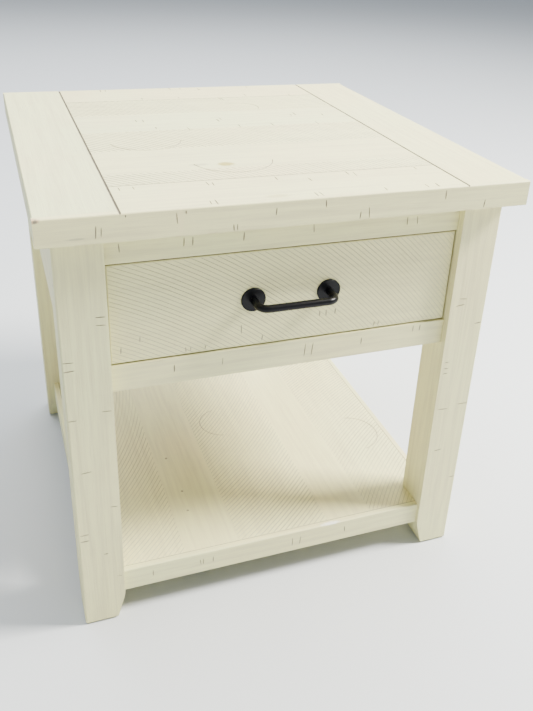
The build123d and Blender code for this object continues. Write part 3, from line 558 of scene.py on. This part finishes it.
def saw_kerfs(name, low, high, hub, place, finish, pitch, half_width, fade=0.0):
    """A cutter for saw arcs about a hub, over a rectangle of a face, all in metres.

    It is drawn flat, u and v in the face and height out of it, and place puts it on the
    face. With a fade the kerfs run out to nothing towards the right."""
    spans = [(u - hub[0], v - hub[1]) for u in (low[0], high[0]) for v in (low[1], high[1])]
    near = min(math.hypot(u, v) for u, v in spans) * 0.96
    far = max(math.hypot(u, v) for u, v in spans) * 1.01
    angles = [math.atan2(v, u) for u, v in spans]
    rings_needed = int((far - near) / pitch) + 1
    bpy.ops.object.select_all(action="DESELECT")
    bpy.ops.mesh.primitive_grid_add(x_subdivisions=KERF_POINTS * rings_needed, y_subdivisions=1,
                                    size=1)
    kerf = bpy.context.object
    kerf.name = name
    bpy.ops.object.mode_set(mode="EDIT")
    bpy.ops.mesh.select_all(action="DESELECT")
    bpy.ops.object.mode_set(mode="OBJECT")
    for v in kerf.data.vertices:
        v.select = v.co.y > 0
    bpy.ops.object.mode_set(mode="EDIT")
    bpy.ops.mesh.delete(type="VERT")
    bpy.ops.object.mode_set(mode="OBJECT")
    rng = random.Random(name)
    points = sorted(kerf.data.vertices, key=lambda v: v.co.x)
    for count, v in enumerate(points):
        ring, side = divmod(count, KERF_POINTS)
        v.co = (near + ring * pitch + (side - 1) * half_width, 0,
                -KERF_DEPTH * rng.uniform(0.6, 1.1) if side == 1 else KERF_LIFT)
    start = min(angles) - SPARE_TURN
    turn = max(angles) + SPARE_TURN - start
    kerf.data.transform(Matrix.Rotation(start, 4, "Z"))
    bpy.ops.object.mode_set(mode="EDIT")
    bpy.ops.mesh.select_all(action="SELECT")
    bpy.ops.mesh.spin(steps=max(8, int(math.degrees(turn) / ARC_STEP)), angle=turn,
                      center=(0, 0, 0), axis=(0, 0, 1))
    bpy.ops.object.mode_set(mode="OBJECT")
    if min(math.atan2(v.co.y, v.co.x) for v in kerf.data.vertices) < start - SPARE_TURN / 2:
        kerf.data.transform(Matrix.Rotation(turn, 4, "Z"))      # it spun the other way
    kerf.data.transform(Matrix.Translation((*hub, 0)))
    bpy.ops.object.mode_set(mode="EDIT")
    for corner, sign in ((low, -1), (high, 1)):
        for axis in (0, 1):
            bpy.ops.mesh.select_all(action="SELECT")
            normal = [0, 0, 0]
            normal[axis] = sign
            bpy.ops.mesh.bisect(plane_co=(*corner, 0), plane_no=normal, clear_outer=True)
    bpy.ops.mesh.select_all(action="SELECT")
    bpy.ops.mesh.extrude_region_move(TRANSFORM_OT_translate={"value": (0, 0, 3 * MM)})
    bpy.ops.mesh.select_all(action="SELECT")
    bpy.ops.mesh.normals_make_consistent(inside=False)
    bpy.ops.object.mode_set(mode="OBJECT")
    slope = Matrix.Identity(4)
    slope[2][0] = fade / (high[0] - low[0])
    slope[2][3] = -low[0] * slope[2][0]
    kerf.data.transform(place @ slope)
    # The kerf valleys cut with this take its finish, painted shade in the kerfs.
    kerf.data.materials.append(finish)
    return kerf


def on_top(z):
    """Puts a flat cutter on a level face at height z."""
    return Matrix.Translation((0, 0, z))


BOARD_PAINT = {"left": ("Y", CREAM_GREEN), "right": ("Y", CREAM), "front": ("X", CREAM),
               "rear": ("X", CREAM_PINK), "centre_1": ("X", CREAM), "centre_2": ("X", CREAM_GREEN),
               "centre_3": ("X", CREAM), "centre_4": ("X", CREAM), "centre_5": ("X", CREAM_PINK)}
SAWN_BOARDS = ("centre_1", "centre_3", "centre_5")
TOP_PITCH, TOP_KERF, TOP_FADE, TOP_INSET = 7.0 * MM, 1.05 * MM, 0.25 * MM, 1.6 * MM
TOP_HUB_LEFT, TOP_HUB_FRONT = 0.30, 0.28    # the saw's hub, out from a board's front left corner
TOP_GROOVE_REACH = 0.25
YELLOWED, SMUDGE = (0.430, 0.360, 0.090), (0.420, 0.395, 0.250)
top_spots = {}
for mark in (((-55, -157, TOP_Z), (12, 9, 9), YELLOWED, 0.95),
             ((-90, -153, TOP_Z), (15, 5, 9), SMUDGE, 0.50),
             ((-32, -289, TOP_Z), (17, 6, 9), YELLOWED, 0.30)):
    x, y, _ = mark[0]
    for board in BOARD_PAINT:
        lo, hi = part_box(f"top_board_{board}")
        if lo.x < x * MM < hi.x and lo.y < y * MM < hi.y:
            top_spots[board] = top_spots.get(board, ()) + (mark,)
corner_wear = [((-304, TOP_FRONT, 613), (7, 7, 4), RUBBED_WOOD, 0.9),
               ((-302, TOP_FRONT, 612), (2.5, 3, 2.5), GROOVE_SHADE_AND_SPOT_DARK, 0.9),
               ((-149, TOP_FRONT, 600), (4, 9, 15), CREAM_PINK, 0.8),
               ((-262, TOP_FRONT, 589), (11, 9, 1.2), SMUDGE, 0.7)]
for count, (board, (along, tint)) in enumerate(BOARD_PAINT.items()):
    label = f"top_board_{board}"
    finish = cream_paint(f"cream_{label}", along, 23.0 + 1.3 * count, tint, 0.35, 0.34,
                         top_spots.get(board, ()))
    cuts = [top_face_cut] + (
        [top_side_cut] if board in ("left", "right") else top_scars)
    lo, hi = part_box(label)
    if board in SAWN_BOARDS:
        cuts.insert(0, saw_kerfs(f"{label}_kerfs", (lo.x + TOP_INSET, lo.y + TOP_INSET),
                                 (hi.x - TOP_INSET, hi.y - TOP_INSET),
                                 (lo.x - TOP_HUB_LEFT, lo.y - TOP_HUB_FRONT),
                                 on_top(hi.z), clear_kerf_shade, TOP_PITCH, TOP_KERF, TOP_FADE))
    # The V-grooves' sides get painted shade.
    carve(label, "frame", finish, cuts, dark=v_groove(TOP_GROOVE_REACH))
for label in ("top_lipping_front", "top_lipping_back"):
    finish = cream_paint(f"cream_{label}", "X", 36.2 if "front" in label else 38.9,
                         spots=corner_wear if "front" in label else ())
    # The V-grooves' sides get painted shade.
    carve(label, "frame", finish, top_cuts, dark=v_groove(TOP_GROOVE_REACH))

# ---------------------------------------------------------------------------- shelf
# Five boards laid in four rebated rails. The widest keep their saw arcs, and a
# tool has left two ring scars.
shelf_lo, shelf_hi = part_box("shelf_rail_front")
SHELF_Z, SHELF_FRONT = shelf_hi.z / MM, shelf_lo.y / MM
SHELF_PITCH, SHELF_KERF, SHELF_INSET = 6.0 * MM, 0.70 * MM, 1.2 * MM
SHELF_GROOVE_REACH = 0.29
shelf_edge_cuts = [
    chops("shelf_rail_chops", "Z", "Y", [(x, SHELF_FRONT, 62, 11) for x in (
        -190.1, -121.3, -117.2, -102.6, 105.8)] + [(x, SHELF_FRONT, 60, 16) for x in (20.3, 32.8)]),
    chops("shelf_back_chops", "Z", "Y", scattered("shelf back", 9, lambda r: (
        r.uniform(-215, 215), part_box("shelf_rail_back")[1].y / MM, r.uniform(52, 70),
        r.uniform(8, 13)))),
    chops("shelf_side_chops", "Z", "X", scattered("shelf sides", 16, lambda r: (
        r.choice((-1, 1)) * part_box("shelf_rail_right")[1].x / MM, r.uniform(-210, 225),
        r.uniform(52, 70), r.uniform(8, 13))))]
WORN_WHITE = (0.880, 0.870, 0.800)
lip_wear = [((82, SHELF_FRONT + 2, SHELF_Z), (17, 4, 2.5), WORN_WHITE, 0.8)]
for count, (side, along) in enumerate((("front", "X"), ("back", "X"), ("left", "Y"),
                                       ("right", "Y"))):
    carve(f"shelf_rail_{side}", "frame",
          cream_paint(f"cream_shelf_rail_{side}", along, 41.0 + 1.3 * count,
                      spots=lip_wear if side == "front" else ()), shelf_edge_cuts)
shelf_scars = [ring_scar(-2.5, 27.8, SHELF_Z, 40, (-1, 0)),
               ring_scar(205.8, -72.2, SHELF_Z, 48, (1, 0))]
shelf_hubs = {1: (-0.700, 0.250), 3: (-0.700, 0.613), 5: (0.686, -0.629)}
shelf_spots = [((-121, -47, SHELF_Z), (2.5, 2.5, 5), GROOVE_SHADE_AND_SPOT_DARK, 0.8),
               ((-115, -135, SHELF_Z), (2, 2.5, 5), GROOVE_SHADE_AND_SPOT_DARK, 0.8),
               ((-117, -181, SHELF_Z), (2, 2, 5), GROOVE_SHADE_AND_SPOT_DARK, 0.8)]
for count in range(1, 6):
    label = f"shelf_board_{count}"
    finish = cream_paint(f"cream_{label}", "Y", 47.0 + 1.3 * count, CREAM, 0.3, 0.34,
                         shelf_spots if count == 2 else ())
    lo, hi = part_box(label)
    cuts = list(shelf_scars)
    if count in shelf_hubs:
        cuts.insert(0, saw_kerfs(f"{label}_kerfs", (lo.x + SHELF_INSET, lo.y + SHELF_INSET),
                                 (hi.x - SHELF_INSET, hi.y - SHELF_INSET), shelf_hubs[count],
                                 on_top(hi.z), clear_kerf_shade, SHELF_PITCH, SHELF_KERF))
    # The V-grooves' sides get painted shade.
    carve(label, "frame", finish, cuts, dark=v_groove(SHELF_GROOVE_REACH))

# --------------------------------------------------------------------------- drawer
# An inset pine front, sawn and painted like the top, screwed to a bare pine box
# with a thin plywood bottom.
face_lo, face_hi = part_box("drawer_face")
FACE_Y = face_lo.y / MM
FACE_PITCH, FACE_KERF, FACE_INSET = 5.2 * MM, 0.60 * MM, 1.3 * MM
FACE_HUB = (-0.543, -0.226)
SHOWN_EDGE = 1.1 * MM           # edge faces no deeper than this stay in paint; deeper ones are painted shade for the gap
face_cuts = [chops("drawer_chops", "Z", "Y", [(x, FACE_Y, z, long) for x, z, long in (
    (-137.3, 415, 7), (-131, 415, 7), (-112.3, 415, 6), (-65.4, 433.2, 14), (-37.3, 417, 9),
    (40.9, 441, 9), (50, 441, 11), (62.8, 442, 9), (122.1, 415, 7), (128.4, 415, 7),
    (-216.9, 425.4, 9), (-193.5, 437.9, 8))], depth=0.8 * MM)]
on_face = Matrix(((1, 0, 0, 0), (0, 0, -1, face_lo.y), (0, 1, 0, 0), (0, 0, 0, 1)))
face_finish = cream_paint("cream_drawer_face", "X", 55.1, CREAM, 0.4, 0.2)
face_cuts.insert(0, saw_kerfs("drawer_face_kerfs",
                              (face_lo.x + FACE_INSET, face_lo.z + FACE_INSET),
                              (face_hi.x - FACE_INSET, face_hi.z - FACE_INSET), FACE_HUB, on_face,
                              faint_kerf_shade, FACE_PITCH, FACE_KERF))
# The drawer front's deeper edge faces get painted shade, darkening the gap round the drawer.
carve("drawer_face", "drawer", face_finish, face_cuts,
      dark=lambda face: abs(face.normal.y) < 0.1 and face.center.y > face_lo.y + SHOWN_EDGE)


WOOD_RINGS, WOOD_PORES, WOOD_DUST = 0.7, 0.35, 0.15     # how strongly each darkens bare wood


def bare_wood(name, along, pale, dark, shift=0.0, rings=90.0):
    """Sanded, unpainted wood with its rings and pores."""
    made, tree, shader = new_material(name)
    wood = grain_vector(tree, along, shift)
    lines = node(tree, "ShaderNodeGroup", {"Vector": wood, "Rings": rings}, node_tree=grain)
    coat = node(tree, "ShaderNodeGroup", {"Vector": wood}, node_tree=brush)
    tint = over(tree, pale, lines.outputs["Ring"], WOOD_RINGS, dark)
    tint = over(tree, tint, lines.outputs["Pore"], WOOD_PORES, dark)
    tint = over(tree, tint, coat.outputs["Dust"], WOOD_DUST, dark)
    tree.links.new(tint, shader.inputs["Base Color"])
    rough = node(tree, "ShaderNodeMapRange", {"Value": lines.outputs["Ring"], 3: 0.68, 4: 0.55})
    tree.links.new(rough.outputs[0], shader.inputs["Roughness"])
    relief = node(tree, "ShaderNodeBump", {"Height": lines.outputs["Pore"], "Strength": 0.4,
                                           "Distance": 0.0003})
    relief.invert = True
    tree.links.new(relief.outputs[0], shader.inputs["Normal"])
    return made


PINE_PALE, PINE_DARK = (0.660, 0.470, 0.270), (0.430, 0.250, 0.110)
PLY_PALE, PLY_DARK = (0.640, 0.500, 0.330), (0.480, 0.330, 0.190)


def finish_node(label, material):
    """Gives a CAD piece whose shape is right its own material."""
    piece = frame["nodes"][label]
    piece.data.materials.clear()
    piece.data.materials.append(material)


pine_across = bare_wood("bare_pine_across", "X", PINE_PALE, PINE_DARK, 60.3)
pine_along = bare_wood("bare_pine_along", "Y", PINE_PALE, PINE_DARK, 63.8)
for label in ("drawer_box_front", "drawer_box_back", "shelf_batten"):
    finish_node(label, pine_across)
for label in ("drawer_side_left", "drawer_side_right", "cleat_left", "cleat_right",
              "slide_bearer_left", "slide_bearer_right", "top_tongue_left", "top_tongue_right"):
    finish_node(label, pine_along)
finish_node("drawer_bottom", bare_wood("plywood_sheet", "Y", PLY_PALE, PLY_DARK, 66.1, 25.0))

# ----------------------------------------------------------------------------- pull
# One steel bar bent at both ends on two flat rosettes, all in satin black lacquer,
# with the lacquer thinned on the bar's bends and the rosettes' rims.
LACQUER, THIN_LACQUER = (0.003, 0.003, 0.004), (0.018, 0.018, 0.019)


def metal(name, deep, thin, metallic, rough, speck, pattern, bump, sheen=0.5):
    """A metal, lacquered or moulded surface, fine-grained, with its edges worn thin."""
    made, tree, shader = new_material(name)
    place = node(tree, "ShaderNodeTexCoord").outputs["Object"]
    worn = node(tree, "ShaderNodeGroup", {"Vector": place, "Width": 0.0012, "Amount": 0.7},
                node_tree=rub)
    grit = node(tree, "ShaderNodeTexNoise", {"Vector": place, "Scale": pattern, "Detail": 4.0})
    tint = over(tree, deep, grit.outputs["Fac"], speck, thin)
    tint = mix(tree, worn.outputs["Mask"], tint, thin)
    tree.links.new(tint, shader.inputs["Base Color"])
    shine = node(tree, "ShaderNodeMapRange", {"Value": grit.outputs["Fac"], 3: rough - 0.07,
                                              4: rough + 0.09})
    tree.links.new(shine.outputs[0], shader.inputs["Roughness"])
    shader.inputs["Metallic"].default_value = metallic
    shader.inputs["Specular IOR Level"].default_value = sheen
    relief = node(tree, "ShaderNodeBump", {"Height": grit.outputs["Fac"], "Strength": bump,
                                           "Distance": 0.0002})
    tree.links.new(relief.outputs[0], shader.inputs["Normal"])
    return made


lacquer = metal("black_lacquer", LACQUER, THIN_LACQUER, 0.0, 0.30, 0.12, 700.0, 0.35, 0.16)
for label in ("pull_bar", "pull_rosettes"):
    piece = carve(label, "drawer", lacquer)
    only(piece)
    bpy.ops.object.shade_smooth_by_angle(angle=math.radians(35))

# --------------------------------------------------------------------------- slides
# Bought-in drawer slides of three rolled, zinc-plated channels, with zinc screws.
# Nylon glides are pressed into the feet.
ZINC, ZINC_PALE = (0.480, 0.490, 0.500), (0.700, 0.705, 0.710)
NYLON, NYLON_PALE = (0.560, 0.550, 0.510), (0.700, 0.690, 0.650)
zinc = metal("zinc_plate", ZINC, ZINC_PALE, 1.0, 0.36, 0.7, 160.0, 0.15)
for label in frame["nodes"]:
    if label.startswith("slide_") and "bearer" not in label or label.endswith("_screws"):
        finish_node(label, zinc)
finish_node("foot_glides", metal("nylon", NYLON, NYLON_PALE, 0.0, 0.5, 0.5, 400.0, 0.3))

# ------------------------------------------------------------------ floor and lights
# A plain pale floor, a soft key from the right and a little in front, a wide box of
# light overhead and behind, and a weak fill from the left.
PALE_FLOOR, DAYLIGHT, DAYLIGHT_STRENGTH = (0.59, 0.61, 0.63, 1), (0.84, 0.92, 1.0, 1), 0.60
TABLE_MIDDLE = Vector((0, 0, 0.35))
bpy.ops.object.select_all(action="DESELECT")
bpy.ops.mesh.primitive_plane_add(size=80)
floor = bpy.context.object
floor.name = "floor"
floor_paint, _, floor_shader = new_material("floor_paint")
floor_shader.inputs["Base Color"].default_value = PALE_FLOOR
floor_shader.inputs["Roughness"].default_value = 0.9
floor.data.materials.append(floor_paint)
floor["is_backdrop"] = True


def softbox(name, place, size, power, tint):
    """A square area light aimed at the table's middle."""
    lamp = bpy.data.lights.new(name, "AREA")
    lamp.size, lamp.energy, lamp.color = size, power, tint
    light = bpy.data.objects.new(name, lamp)
    light.location = place
    towards = TABLE_MIDDLE - Vector(place)
    light.rotation_euler = towards.to_track_quat("-Z", "Y").to_euler()
    bpy.context.scene.collection.objects.link(light)


softbox("key", (2.4, -0.75, 2.7), 0.9, 520, (1.0, 0.97, 0.89))
softbox("overhead", (0.2, 2.2, 4.4), 6.0, 560, (0.95, 0.98, 1.0))
softbox("fill", (-2.4, -2.2, 1.5), 2.6, 5, (0.92, 0.96, 1.0))
world = bpy.data.worlds.new("studio")
world.use_nodes = True
world.node_tree.nodes["Background"].inputs["Color"].default_value = DAYLIGHT
world.node_tree.nodes["Background"].inputs["Strength"].default_value = DAYLIGHT_STRENGTH
bpy.context.scene.world = world

for spare in [o for o in bpy.context.scene.objects
              if o.type == "MESH" and not body_of(o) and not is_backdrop(o)]:
    bpy.data.objects.remove(spare)          # the cutters
bpy.context.view_layer.update()
